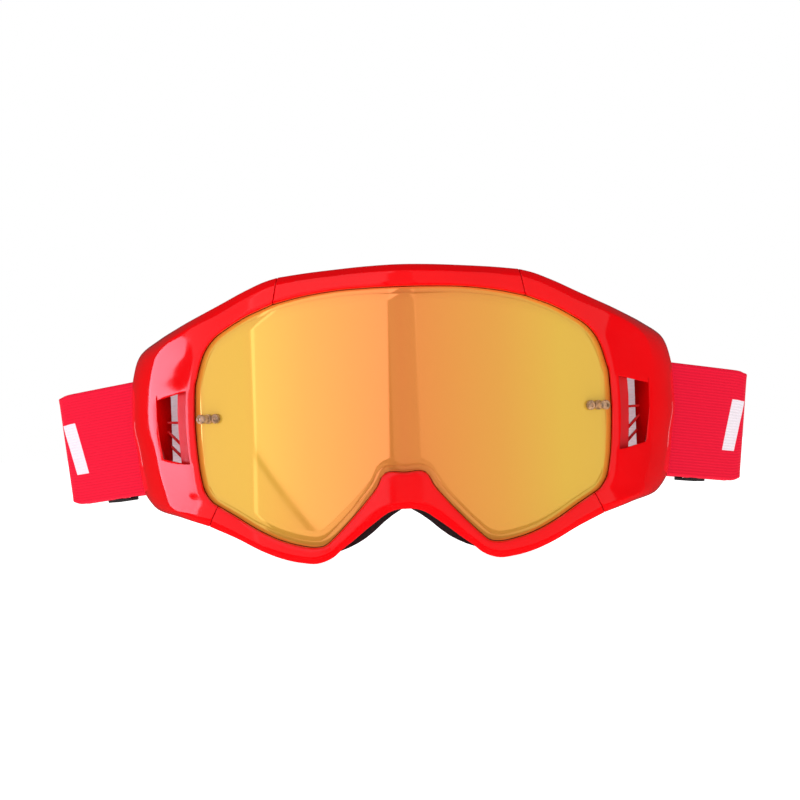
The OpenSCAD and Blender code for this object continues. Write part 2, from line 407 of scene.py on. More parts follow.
def math_node(made, operation, first, second=0.0):
    """A math node on values or numbers."""
    node = add_node(made, "ShaderNodeMath", operation=operation)
    plug(made, first, node.inputs[0])
    plug(made, second, node.inputs[1])
    return node.outputs["Value"]


def map_range(made, value, **inputs):
    """The value carried from one range to another. Inputs are From_Min, From_Max, To_Min and To_Max."""
    named = {name.replace("_", " "): amount for name, amount in inputs.items()}
    node = add_node(made, "ShaderNodeMapRange", inputs=named)
    link(made, value, node.inputs["Value"])
    return node.outputs["Result"]


def mixed(made, factor, first, second, blend="MIX"):
    """Two colours mixed by a factor, which is a value or a number."""
    node = add_node(made, "ShaderNodeMix", data_type="RGBA", blend_type=blend)
    plug(made, factor, node.inputs["Factor"])
    link(made, first, node.inputs["A"])
    link(made, second, node.inputs["B"])
    return node.outputs["Result"]


def object_noise(made, scale, detail=3.0, stretch=(1, 1, 1)):
    """Noise over the piece's own coordinates. Scale is in turns for each metre."""
    mapping = add_node(made, "ShaderNodeMapping", inputs={"Scale": stretch})
    noise = add_node(made, "ShaderNodeTexNoise", inputs={"Scale": scale, "Detail": detail})
    link(made, object_place(made), mapping.inputs["Vector"])
    link(made, mapping.outputs["Vector"], noise.inputs["Vector"])
    return noise.outputs["Fac"]


def ramp(made, value, stops):
    """Colours along a value, from a list of (place, colour)."""
    node = add_node(made, "ShaderNodeValToRGB")
    while len(node.color_ramp.elements) < len(stops):
        node.color_ramp.elements.new(0.5)
    for element, (place, colour) in zip(node.color_ramp.elements, stops):
        element.position = place
        element.color = (*colour, 1)
    link(made, value, node.inputs["Fac"])
    return node.outputs["Color"]


def spread(made, value, low, high):
    """The value's middle range stretched from low to high."""
    return map_range(made, value, From_Min=0.3, From_Max=0.7, To_Min=low, To_Max=high)


def roughen(made, scale, low, high, detail=3.0, stretch=(1, 1, 1)):
    """Roughness that varies softly between two values."""
    noise = object_noise(made, scale, detail, stretch)
    link(made, spread(made, noise, low, high), shader_of(made).inputs["Roughness"])


def bump(made, heights):
    """Relief on the shader, from a list of (height value, strength, distance in metres)."""
    before = None
    for value, strength, distance in heights:
        node = add_node(made, "ShaderNodeBump", inputs={"Strength": strength, "Distance": distance})
        link(made, value, node.inputs["Height"])
        if before is not None:
            link(made, before, node.inputs["Normal"])
        before = node.outputs["Normal"]
    link(made, before, shader_of(made).inputs["Normal"])


def shades(colour, low, high):
    """The colour darkened and lightened by two factors."""
    return tuple(c * low for c in colour), tuple(min(1, c * high) for c in colour)


def mottled(made, colour, low, high, scale):
    """Base colour that varies softly between two shades of one colour."""
    dark, light = shades(colour, low, high)
    paint(made, ramp(made, object_noise(made, scale), [(0.3, dark), (0.7, light)]))


def gloss_shell_material(colour):
    made = material("shell_gloss", Specular_IOR_Level=0.32, Coat_Weight=0.05, Coat_Roughness=0.03)
    mottled(made, colour, 0.95, 1.04, 35)
    roughen(made, 90, 0.05, 0.10)
    bump(made, [(object_noise(made, 420, 1), 0.015, 0.00005)])
    return made


def flexible_frame_material(colour):
    """Satin red rubber, with the black foam edge that is bonded under the nose and cheeks."""
    made = material("frame_satin", Specular_IOR_Level=0.3)
    dark, light = shades(colour, 0.88, 1.05)
    red = ramp(made, object_noise(made, 60), [(0.3, dark), (0.7, light)])
    black = ramp(made, object_noise(made, 900), [(0.3, (0.006, 0.006, 0.006)), (0.7, (0.02, 0.02, 0.021))])
    above_edge = map_range(made, axes_of(made, object_place(made))["Z"],
                           From_Min=FOAM_EDGE_Z - 0.5 * MM, From_Max=FOAM_EDGE_Z + 0.5 * MM)
    paint(made, mixed(made, above_edge, black, red))
    roughen(made, 300, 0.28, 0.42)
    bump(made, [(object_noise(made, 2600, 2), 0.12, 0.0001)])
    return made


def mirror_material(side, middle):
    """Gold mirror painted orange towards the middle of the lens and a little darker and more orange at its
    very ends; the change from orange to gold stands in for the coating's change of hue with viewing angle,
    a painted reflection colour.
    """
    made = material("lens_mirror", Metallic=0.45, Specular_IOR_Level=0.6, Coat_Weight=0.3,
                    Coat_Roughness=0.02)
    # Painted reflection colour: the hue that the coating shows with viewing angle is painted along the
    # lens's own X, orange in the middle and gold at the ends.
    across = math_node(made, "ABSOLUTE", axes_of(made, object_place(made))["X"])
    share = map_range(made, across, From_Min=0.0, From_Max=LENS_HALF_WIDTH)
    between = tuple((a + b) / 2 for a, b in zip(side, middle))
    colour = ramp(made, share,
                  [(0.0, middle), (0.45, between), (0.75, side), (0.94, side),
                   (1.0, (side[0], side[1] * 0.72, side[2] * 0.8))])
    haze = ramp(made, object_noise(made, 14, 2, (1, 1, 0.35)),
                [(0.3, (0.95, 0.95, 0.95)), (0.7, (1, 1, 1))])
    paint(made, mixed(made, 1.0, colour, haze, "MULTIPLY"))
    roughen(made, 60, 0.035, 0.06)
    return made


def lens_inside_material():
    """Smoke brown inner face of the lens."""
    made = material("lens_inside", Specular_IOR_Level=0.6, Coat_Weight=0.2)
    mottled(made, (0.16, 0.075, 0.03), 0.9, 1.1, 25)
    roughen(made, 50, 0.05, 0.09)
    return made


def foam_material(name, colour, scale):
    """Open-cell foam: painted shade in the pores and painted light on the cell walls, over a rough skin."""
    made = material(name, Roughness=0.95, Specular_IOR_Level=0.2, Sheen_Weight=0.15)
    cells = add_node(made, "ShaderNodeTexVoronoi", feature="DISTANCE_TO_EDGE",
                     inputs={"Scale": scale})
    link(made, object_place(made), cells.inputs["Vector"])
    # Painted shade and light: the pores are painted darker and the cell walls lighter, from one foam
    # colour.
    dark, light = shades(colour, 0.35, 1.8)
    paint(made, ramp(made, cells.outputs["Distance"], [(0.02, light), (0.25, dark)]))
    bump(made, [(cells.outputs["Distance"], 0.6, 0.0004), (object_noise(made, 900), 0.3, 0.0003)])
    return made


def fleece_material():
    """Brushed fleece: short matted fibres."""
    made = material("fleece_black", Roughness=1.0, Specular_IOR_Level=0.1, Sheen_Weight=0.6,
                    Sheen_Roughness=0.5)
    mottled(made, (0.014, 0.014, 0.015), 0.5, 1.8, 900)
    bump(made, [(object_noise(made, 1900, 6, (1, 1, 0.4)), 0.8, 0.0006),
                (object_noise(made, 300, 3), 0.3, 0.0008)])
    return made


def plastic_material(name, colour, roughness, grain):
    made = material(name, Specular_IOR_Level=0.5)
    mottled(made, colour, 0.85, 1.15, 120)
    roughen(made, 500, roughness * 0.85, roughness * 1.15)
    bump(made, [(object_noise(made, grain, 2), 0.15, 0.0001)])
    return made


def steel_material():
    made = material("steel_drawn", Metallic=1.0)
    mottled(made, (0.55, 0.55, 0.57), 0.9, 1.05, 200)
    roughen(made, 1500, 0.2, 0.34, 2, (1, 1, 0.03))
    bump(made, [(object_noise(made, 4000, 2, (1, 1, 0.02)), 0.1, 0.00005)])
    return made


def post_material():
    """Smoky clear rivets with a mottled tone."""
    made = material("post_smoky", Specular_IOR_Level=0.7, Coat_Weight=0.5, Coat_Roughness=0.05)
    mottled(made, (0.42, 0.25, 0.13), 0.4, 1.5, 700)
    roughen(made, 800, 0.1, 0.22)
    return made


def woven(made, pitch, cross, strength):
    """Relief of elastic webbing along the piece's own UV map: ribs along it, picks across it."""
    uv = add_node(made, "ShaderNodeUVMap", uv_map="path")
    axes = axes_of(made, uv.outputs["UV"])
    waves = [math_node(made, "SINE", math_node(made, "MULTIPLY", axes[axis], 2 * math.pi / step))
             for axis, step in (("Y", pitch), ("X", cross))]
    bump(made, [(waves[0], strength, 0.00012), (waves[1], strength * 0.45, 0.00006),
                (object_noise(made, 2500, 3), 0.25, 0.0001)])
    return axes, waves[0]


def inside_band(made, value, low, high):
    """1 where the value lies between low and high, with a hair's width of blur."""
    blur = 0.00012
    rise = map_range(made, value, From_Min=low - blur, From_Max=low + blur)
    fall = map_range(made, value, From_Min=high - blur, From_Max=high + blur, To_Min=1.0, To_Max=0.0)
    return math_node(made, "MULTIPLY", rise, fall)


def strap_material(colour, print_colour, blocks):
    """Red elastic with a plain white slanted block printed near each fold, with painted shade in its rib
    grooves and painted light on its rib crests.
    Blocks are (middle along the strap, width, lean, half height) in metres."""
    made = material("strap_outer", Roughness=0.78, Specular_IOR_Level=0.12, Sheen_Weight=0.05,
                    Sheen_Roughness=0.4)
    axes, rib = woven(made, RIB_PITCH, PICK_PITCH, 0.34)
    # Painted shade and light: the red is darker in the ribs' grooves and lighter on their crests, following
    # the ribs' relief.
    dark, light = shades(colour, 0.92, 1.04)
    level = math_node(made, "ADD", math_node(made, "MULTIPLY", rib, 0.5), 0.5)
    red = ramp(made, level, [(0.0, dark), (1.0, light)])
    printed = None
    for middle, width, lean, half_height in blocks:
        slanted = math_node(made, "ADD", axes["X"], math_node(made, "MULTIPLY", axes["Y"], lean))
        block = math_node(made, "MULTIPLY",
                          inside_band(made, slanted, middle - width / 2, middle + width / 2),
                          inside_band(made, axes["Y"], -half_height, half_height))
        printed = block if printed is None else math_node(made, "MAXIMUM", printed, block)
    white = ramp(made, object_noise(made, 1500, 2),
                 [(0.3, shades(print_colour, 0.93, 1)[0]), (0.7, print_colour)])
    paint(made, mixed(made, printed, red, white))
    return made


def lining_material(colour):
    """Off-white inner face of the elastic."""
    made = material("strap_lining", Roughness=0.85, Specular_IOR_Level=0.2)
    woven(made, RIB_PITCH, PICK_PITCH, 0.4)
    mottled(made, colour, 0.94, 1.02, 500)
    return made


def thread_material():
    made = material("thread", Roughness=0.6, Specular_IOR_Level=0.3)
    mottled(made, (0.75, 0.02, 0.05), 0.8, 1.2, 3000)
    bump(made, [(object_noise(made, 6000, 2), 0.3, 0.00005)])
    return made


# ---- front shells ----

# Stations along the front, in millimetres on the right half: inner edge x, z, outer edge x, z,
# width of the outer bevel, and how far the station is part of the side band (0 to 1).
BROW = [(0, 40.3, 0, 47.6, 2.5, 0), (11, 40.15, 11, 47.3, 2.5, 0), (21.2, 39.7, 21.3, 46.7, 2.6, 0),
        (31.8, 38.4, 31, 46.05, 2.7, 0), (41.2, 36.55, 39.45, 45.28, 2.8, 0)]
SIDE = [(41.35, 36.5, 39.6, 45.25, 2.8, 0), (44.6, 35.3, 44, 44.2, 2.9, 0), (49.1, 33.7, 50, 42, 3, 0),
        (57.4, 29.6, 62.8, 36.6, 3.4, 0), (62.4, 26.3, 75.2, 32.2, 4.2, 0.2),
        (65.6, 22.4, 85.0, 28.6, 6.0, 0.6), (67.3, 18.6, 92.2, 24.2, 8.0, 0.9),
        (68.6, 14.2, 95.2, 16.2, 8.6, 1), (69.6, 10.35, 96, 4.8, 9.0, 1), (70, -2.4, 96, -2.6, 9.2, 1),
        (69.0, -15.95, 94.8, -10.2, 10.0, 1), (68.2, -20.5, 93.8, -18.5, 10.2, 1),
        (67.2, -24.2, 92.2, -25.6, 10.4, 0.95), (65.6, -26.6, 88.4, -30.2, 7.8, 0.7),
        (64.1, -28.1, 77.0, -33.3, 4.0, 0.2), (62.6, -29.0, 66.2, -35.95, 2.8, 0)]
LOWER = [(62.45, -29.1, 66.0, -36.02, 2.6, 0), (56.1, -32.7, 56.8, -39.8, 2.3, 0),
         (48.8, -37.1, 47.4, -44.4, 2.3, 0), (41.8, -40.4, 40.5, -46.9, 2.3, 0),
         (36.2, -42.1, 34.8, -48.1, 2.3, 0), (30, -43.05, 28.6, -48.3, 2.2, 0),
         (26.6, -42.5, 24.2, -46.5, 2.2, 0), (24.5, -40.9, 21.2, -44, 2.2, 0),
         (20.6, -37.1, 17.3, -41.1, 2.5, 0), (16.9, -33.2, 13.6, -38.1, 2.9, 0),
         (12.8, -28.6, 9.4, -35.0, 2.9, 0), (8.7, -23.4, 6.9, -33.2, 2.6, 0),
         (7.4, -20.6, 5.6, -32.5, 2.3, 0), (6.4, -19.75, 4.6, -32.1, 2.1, 0),
         (0, -19.7, 0, -31.5, 2.1, 0)]
RIM_ROLL = ((0.0, 1.1), (0.15, 0.5), (0.5, 0.13), (1.1, 0.0))
WALL_STEPS = ((0.1, 0.12), (0.45, 1.1), (0.8, 2.05), (0.95, 2.75), (1.0, 3.7), (1.0, 9.0))
BAND_STEPS = (0.03, 0.2, 0.45, 0.7, 0.9, 0.985)
WINDOW_TOP, WINDOW_BOTTOM = 8, 10      # stations of SIDE that the side window lies between
FIRST_FACE_ROW = len(RIM_ROLL) + 1     # rows of the face that the window is cut between
FACE_ROWS = 5
OUTER_ROWS = FIRST_FACE_ROW + FACE_ROWS + 2 + len(WALL_STEPS) + 1
WALL_BACK_ROWS = 3                     # rows behind the wall, before the face's back

# The side window's parts in millimetres: ribs from start to end in the front view, and the slanted
# wall behind its outer edge, seen from above.
WINDOW_RIBS = (("rib_level", (74.4, -0.7), (82.6, -0.4)), ("rib_slanted", (76.6, -9.2), (82, -3.4)),
               ("rib_low", (75.6, -14.4), (81, -8.6)))
RIB_HEIGHT, RIB_FRONT, RIB_DEPTH = 0.9, -10, 2.4
CHEEK = ((84.6, -16.6), (80.7, -7), (81.8, -6.6), (86.4, -12.6))
CHEEK_LOW, CHEEK_HIGH = -15.5, 9


def drum(x, radius):
    """How far behind its middle a point of the curved front lies."""
    return radius - math.sqrt(radius * radius - x * x)


def curve_through(stations, step):
    """Stations on a smooth curve through the given ones, with the index of each given one."""
    points = stations
    gaps = [math.dist(a[2:4], b[2:4]) * 0.6 + math.dist(a[:2], b[:2]) * 0.4
            for a, b in zip(points, points[1:])]

    def slope(i, k):
        if i == 0:
            return (points[1][k] - points[0][k]) / gaps[0]
        if i == len(points) - 1:
            return (points[-1][k] - points[-2][k]) / gaps[-1]
        before = (points[i][k] - points[i - 1][k]) / gaps[i - 1]
        after = (points[i + 1][k] - points[i][k]) / gaps[i]
        return (before * gaps[i] + after * gaps[i - 1]) / (gaps[i] + gaps[i - 1])

    made, marks = [], []
    for i, gap in enumerate(gaps):
        marks.append(len(made))
        count = max(2, math.ceil(gap / step))
        for j in range(count):
            t = j / count
            made.append(tuple(
                (2 * t ** 3 - 3 * t * t + 1) * points[i][k] + (t ** 3 - 2 * t * t + t) * gap * slope(i, k)
                + (3 * t * t - 2 * t ** 3) * points[i + 1][k] + (t ** 3 - t * t) * gap * slope(i + 1, k)
                for k in range(len(points[0]))))
    marks.append(len(made))
    made.append(points[-1])
    return made, marks


def section(station, s):
    """The closed section of a shell at one station, as points in metres."""
    x_in, z_in, x_out, z_out, bevel_width, side = station
    side = min(1, max(0, side))
    radius = s.drum_radius / MM
    length = math.dist((x_in, z_in), (x_out, z_out))
    bevel_width = min(bevel_width, 0.42 * length)
    flat = length - bevel_width
    first = min(1.8 + 1.4 * side, 0.45 * flat)
    last = max(flat - 0.9 - 1.6 * side, 0.75 * flat)
    rim = min(1.7, first - 0.05)     # where the rim's back face ends
    thick = 2.2 + 1.4 * side
    shrink = min(1, flat / 3)

    def at(distance):
        share = distance / length
        return x_in + (x_out - x_in) * share, z_in + (z_out - z_in) * share

    x_first, x_flat = at(first)[0], at(flat)[0]
    y_first, y_flat = drum(x_first, radius), drum(x_flat, radius)

    def face(distance, depth):
        """A point on or behind the face, which is flat on the side from the lens rim to the ridge."""
        x, z = at(distance)
        y = drum(x, radius)
        if side > 0 and distance > first:
            chord = y_first + (y_flat - y_first) * (x - x_first) / (x_flat - x_first)
            y = y * (1 - side) + chord * side
        return Vector((x, SHELL_FRONT / MM + y + depth, z))

    end_y = BAND_END / MM - 0.02
    ridge = face(flat, 0.06)

    def outer(index):
        """A point from the bevel to the back of the wall, between a plain wall and the side band."""
        if index < len(WALL_STEPS):
            share, depth = WALL_STEPS[index]
            along = BAND_STEPS[index]
        else:
            share, depth, along = 1.0, s.wall_depth / MM, 1.0
        x, z = at(flat + bevel_width * share)
        wall = Vector((x, SHELL_FRONT / MM + drum(x, radius) + depth, z))
        x, z = at(flat + bevel_width * (along + 0.42 * along * (1 - along)))
        band = Vector((x, ridge.y + (end_y - ridge.y) * along, z))
        return wall.lerp(band, side)

    away = Vector((x_in - x_out, 0, z_in - z_out)) / length
    points = [face(0, s.rim_depth / MM)]
    points += [face(d * shrink, depth) for d, depth in RIM_ROLL]
    points += [face(first + (last - first) * i / (FACE_ROWS - 1), 0) for i in range(FACE_ROWS)]
    points += [face(flat - 0.5 * shrink, 0), ridge]
    points += [outer(i) for i in range(len(WALL_STEPS) + 1)]
    wall = s.wall / MM
    points += [points[-1] + away * wall, points[-3] + away * (wall + 0.3),
               face(flat - 0.6 * shrink, thick + 0.3)]
    points += [face(last + (first - last) * i / (FACE_ROWS - 1), thick) for i in range(FACE_ROWS)]
    points += [face(rim, max(thick, 2.5) + 0.2), face(rim, s.rim_depth / MM)]
    return [p * MM for p in points]


def shell(name, stations, settings, window=None):
    """A front shell lofted through its stations. Window gives the two stations it is cut between."""
    columns, marks = curve_through(stations, settings.column / MM)
    sections = [section(c, settings) for c in columns]
    rows = len(sections[0])
    obj = placed_grid(name, len(columns), rows, lambda column, row: sections[column][row], closed=True)
    if window is not None:
        cut_window(obj, len(columns), rows, marks[window[0]], marks[window[1]])
    close_ends(obj)
    bevel(obj, settings.edge, 2, 62)
    smooth(obj, 32)
    return obj


def cut_window(obj, columns, rows, first, last):
    """Takes the window's faces out of the front and the back and walls the hole between them."""
    outer_low, outer_high = FIRST_FACE_ROW, FIRST_FACE_ROW + FACE_ROWS - 1
    inner_low = OUTER_ROWS + WALL_BACK_ROWS
    inner_high = inner_low + FACE_ROWS - 1
    mesh = bmesh.new()
    mesh.from_mesh(obj.data)
    mesh.verts.ensure_lookup_table()

    def vertex(column, row):
        return mesh.verts[row * columns + column]

    def faces_between(low, high):
        wanted = {vertex(c, r) for c in range(first, last + 1) for r in range(low, high + 1)}
        return [f for f in mesh.faces if all(v in wanted for v in f.verts)]

    gone = faces_between(outer_low, outer_high) + faces_between(inner_low, inner_high)
    front = [vertex(c, outer_low) for c in range(first, last + 1)]
    back = [vertex(c, inner_high) for c in range(first, last + 1)]
    front += [vertex(last, r) for r in range(outer_low + 1, outer_high + 1)]
    back += [vertex(last, r) for r in range(inner_high - 1, inner_low - 1, -1)]
    front += [vertex(c, outer_high) for c in range(last - 1, first - 1, -1)]
    back += [vertex(c, inner_low) for c in range(last - 1, first - 1, -1)]
    front += [vertex(first, r) for r in range(outer_high - 1, outer_low, -1)]
    back += [vertex(first, r) for r in range(inner_low + 1, inner_high)]
    for i in range(len(front)):
        j = (i + 1) % len(front)
        mesh.faces.new((front[i], front[j], back[j], back[i]))
    bmesh.ops.delete(mesh, geom=gone, context="FACES")
    mesh.to_mesh(obj.data)
    mesh.free()


def whole_front(half):
    """Stations across both halves, from the left end to the right one."""
    left = [(-a, b, -c, d, e, f) for a, b, c, d, e, f in half if a > 0]
    if half[0][0] == 0:
        return list(reversed(left)) + half
    return left + list(reversed(half))


def bar_lug(name, low, high, radius, edge):
    """Plate that holds one end of the strap bar, joined to the band at x = edge."""
    turn = [math.radians(a) for a in range(20, 201, 20)]
    outline = [(BAR.x + radius * math.cos(a), BAR.y + radius * math.sin(a)) for a in turn]
    outline += [(BAR.x - radius, BAR.y - 2 * MM), (83.6 * MM, -7 * MM), (edge - 2.2 * MM, -8 * MM),
                (edge, 2 * MM), (edge, 4.2 * MM)]
    lug = plate(name, outline, low, high)
    bevel(lug, 0.35 * MM, 2, 40)
    return lug


def window_rib(name, start, end):
    """Thin rib across the window's gap, from start to end in the front view."""
    a, b = Vector(start) * MM, Vector(end) * MM
    across = (b - a).normalized().orthogonal() * RIB_HEIGHT * MM / 2
    rib = plate(name, [a + across, b + across, b - across, a - across],
                RIB_FRONT * MM, (RIB_FRONT + RIB_DEPTH) * MM, axis="Y")
    bevel(rib, 0.2 * MM, 2, 40)
    return rib


def window_cheek(name):
    """Slanted wall behind the outer edge of the window, from the face back towards the foam."""
    cheek = plate(name, [(x * MM, y * MM) for x, y in CHEEK], CHEEK_LOW * MM, CHEEK_HIGH * MM)
    bevel(cheek, 0.25 * MM, 2, 40)
    return cheek


class GOGGLES_OT_materials(bpy.types.Operator):
    """Makes the goggles' materials from their colours"""
    bl_idname = "goggles.materials"
    bl_label = "Materials"

    def execute(self, context):
        colours = context.scene.goggles_colours
        gloss_shell_material(tuple(colours.shell))
        flexible_frame_material(tuple(colours.frame))
        mirror_material(tuple(colours.mirror_side), tuple(colours.mirror_middle))
        lens_inside_material()
        foam_material("foam_open_cell", (0.018, 0.018, 0.019), 900)
        foam_material("vent_foam_cells", (0.03, 0.03, 0.03), 650)
        fleece_material()
        plastic_material("slider_black", (0.014, 0.014, 0.015), 0.42, 2600)
        plastic_material("seal_rubber", (0.03, 0.029, 0.028), 0.75, 1500)
        steel_material()
        post_material()
        thread_material()
        return {"FINISHED"}


def of_name(*names):
    """Materials by name."""
    return [bpy.data.materials[name] for name in names]


class GOGGLES_OT_front_shells(bpy.types.Operator):
    """Builds the brow shell and the lower shell"""
    bl_idname = "goggles.front_shells"
    bl_label = "Front shells"

    def execute(self, context):
        settings = context.scene.goggles_shells
        brow = shell("front_brow", whole_front(BROW), settings)
        finish(brow, "frame", "red_gloss", of_name("shell_gloss"), "brow_shell")
        lower = shell("front_lower", whole_front(LOWER), settings)
        finish(lower, "frame", "red_gloss", of_name("shell_gloss"), "lower_shell")
        return {"FINISHED"}


class GOGGLES_OT_outriggers(bpy.types.Operator):
    """Builds both outriggers with their windows, ribs and strap-bar lugs"""
    bl_idname = "goggles.outriggers"
    bl_label = "Outriggers"

    def execute(self, context):
        settings = context.scene.goggles_shells
        body = shell("outrigger_shell_right", SIDE, settings, (WINDOW_TOP, WINDOW_BOTTOM))
        bar_low, bar_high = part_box("strap_bar_right")[0].z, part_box("strap_bar_right")[1].z
        parts = [body,
                 bar_lug("lug_top", bar_high - 2.6 * MM, bar_high + 0.8 * MM, 2.8 * MM, 91.4 * MM),
                 bar_lug("lug_bottom", bar_low - 0.8 * MM, bar_low + 2.2 * MM, 2.4 * MM, 88.2 * MM),
                 window_cheek("window_cheek"), *(window_rib(*rib) for rib in WINDOW_RIBS)]
        right = join(parts, "outrigger_shell_right")
        smooth(right, 32)
        left = mirrored_copy(right, "outrigger_shell_left")
        finish(right, "frame", "red_gloss", of_name("shell_gloss"), "outrigger_right")
        finish(left, "frame", "red_gloss", of_name("shell_gloss"), "outrigger_left")
        return {"FINISHED"}


# ---- lens and posts ----

def opening_outline(inset):
    """The lens opening's front outline, moved inwards, as a closed list of (x, z) in millimetres."""
    half = [(s[0], s[1]) for part in (BROW, SIDE, LOWER) for s in curve_through(part, 0.8)[0]]
    outline = half + [(-x, z) for x, z in reversed(half[1:-1])]
    moved = []
    for i, point in enumerate(outline):
        before, after = Vector(outline[i - 1]), Vector(outline[(i + 1) % len(outline)])
        along = (after - before).normalized()
        moved.append(Vector(point) + Vector((along.y, -along.x)) * inset)
    return moved


def heights_at(outline, x):
    """Lowest and highest z of a closed outline at x."""
    found = []
    for a, b in zip(outline, outline[1:] + outline[:1]):
        if (a.x - x) * (b.x - x) <= 0 and a.x != b.x:
            found.append(a.y + (b.y - a.y) * (x - a.x) / (b.x - a.x))
    return min(found), max(found)


def curved_sheet(name, inset, front, thickness, columns, radius, rows=24):
    """A sheet on the lens's cylinder, inside the opening by inset, with its front at depth front."""
    outline = opening_outline(inset)
    reach = max(p.x for p in outline) - 0.02
    places = [reach * math.sin(math.pi / 2 * (2 * i / (columns - 1) - 1)) for i in range(columns)]
    places = [0.55 * x + 0.45 * reach * (2 * i / (columns - 1) - 1) for i, x in enumerate(places)]
    spans = [heights_at(outline, x) for x in places]

    def place(column, row):
        x, (low, high) = places[column], spans[column]
        return Vector((x, front + drum(x, radius), low + (high - low) * row / (rows - 1))) * MM

    obj = placed_grid(name, columns, rows, place)
    if obj.data.polygons[0].normal.y > 0:
        obj.data.flip_normals()
    apply_modifier(obj, "SOLIDIFY", "sheet_thickness", thickness=thickness, offset=-1)
    return obj


class GOGGLES_OT_lens(bpy.types.Operator):
    """Builds the mirrored lens with its stepped edge"""
    bl_idname = "goggles.lens"
    bl_label = "Lens"

    def execute(self, context):
        s = context.scene.goggles_lens
        radius = context.scene.goggles_shells.drum_radius / MM
        front = LENS_FRONT / MM
        border = curved_sheet("lens_border", s.gap / MM, front + s.step_height / MM,
                              s.thickness - s.step_height, s.columns, radius)
        bevel(border, 0.15 * MM, 2, 50)
        raised = curved_sheet("lens_raised", s.step_in / MM, front, s.step_height + 0.1 * MM,
                              s.columns, radius)
        bevel(raised, 0.12 * MM, 2, 50)
        lens = join([raised, border], "lens_sheet")
        lens.data.materials.clear()
        for made in of_name("lens_mirror", "lens_inside"):
            lens.data.materials.append(made)
        for polygon in lens.data.polygons:
            polygon.material_index = 1 if polygon.normal.y > 0.3 else 0
        smooth(lens, 30)
        finish(lens, "lens_unit", "gold_mirror", [], "lens")
        return {"FINISHED"}


def rivet(radius, height, hollow):
    """A domed rivet head, with its axis along +Z and its foot at the origin."""
    deselect()
    bpy.ops.mesh.primitive_cylinder_add(vertices=32, radius=radius, depth=height,
                                        location=(0, 0, height / 2))
    head = bpy.context.object
    bpy.ops.object.mode_set(mode="EDIT")
    bpy.ops.mesh.select_all(action="DESELECT")
    bpy.ops.object.mode_set(mode="OBJECT")
    for polygon in head.data.polygons:
        polygon.select = polygon.normal.z > 0.9
    bpy.ops.object.mode_set(mode="EDIT")
    bpy.ops.mesh.inset(thickness=radius * 0.36)
    bpy.ops.transform.translate(value=(0, 0, height * 0.16))
    bpy.ops.mesh.inset(thickness=radius * 0.2)
    bpy.ops.mesh.extrude_region_move(TRANSFORM_OT_translate={"value": (0, 0, -hollow)})
    bpy.ops.object.mode_set(mode="OBJECT")
    apply_place(head)
    bevel(head, radius * 0.09, 2, 35)
    return head


def post_group(name):
    """Three rivet heads on their strip, the middle one with the post, across the lens's right end."""
    low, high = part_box("tearoff_posts_right")
    radius = bpy.context.scene.goggles_shells.drum_radius
    mounts = {mount["name"]: mount for mount in frame["record"]["mounts"]}
    tip_x = mounts["tearoff_post_right"]["pos_m"][0]
    middle = math.asin(tip_x / (radius + 2.52 * MM))
    tall = (high.z - low.z) / 2
    parts = []
    for i in (-1, 0, 1):
        head = rivet(tall, 1.15 * MM, 0.5 * MM if i else 0.05 * MM)
        head.data.transform(Matrix.Translation((i * POST_PITCH, 0, 0)))
        parts.append(head)
    deselect()
    bpy.ops.mesh.primitive_cylinder_add(vertices=32, radius=POST_RADIUS, depth=3.6 * MM,
                                        location=(0, 0, 1.8 * MM))
    shaft = bpy.context.object
    apply_place(shaft)
    for vertex in shaft.data.vertices:
        if vertex.co.z > 0:
            vertex.co.x, vertex.co.y = vertex.co.x * 0.97, vertex.co.y * 0.97
    bevel(shaft, 0.35 * MM, 3, 60)
    parts.append(shaft)
    ends = [(math.cos(a), math.sin(a)) for a in [math.radians(20 * k) for k in range(-4, 5)]]
    outline = [(POST_PITCH + 0.9 * MM * c, 0.9 * MM * d) for c, d in ends]
    outline += [(-POST_PITCH - 0.9 * MM * c, -0.9 * MM * d) for c, d in ends]
    strip = plate("post_strip", outline, 0, 0.6 * MM)
    bevel(strip, 0.12 * MM, 2, 50)
    parts.append(strip)
    group = join(parts, name)
    normal = Vector((math.sin(middle), -math.cos(middle), 0))
    across = Vector((math.cos(middle), math.sin(middle), 0))
    foot = Vector((0, LENS_FRONT + radius, 0)) + normal * (radius + 0.02 * MM)
    turn = Matrix((across, normal.cross(across), normal)).transposed().to_4x4()
    group.data.transform(Matrix.Translation(foot) @ turn)
    face_outwards(group)
    smooth(group, 35)
    return group


class GOGGLES_OT_posts(bpy.types.Operator):
    """Builds the tear-off posts at both ends of the lens"""
    bl_idname = "goggles.posts"
    bl_label = "Tear-off posts"

    def execute(self, context):
        right = post_group("post_group_right")
        left = mirrored_copy(right, "post_group_left")
        finish(right, "lens_unit", "posts", of_name("post_smoky"), "tearoff_posts_right")
        finish(left, "lens_unit", "posts", of_name("post_smoky"), "tearoff_posts_left")
        return {"FINISHED"}


# ---- frame, seal and foams ----

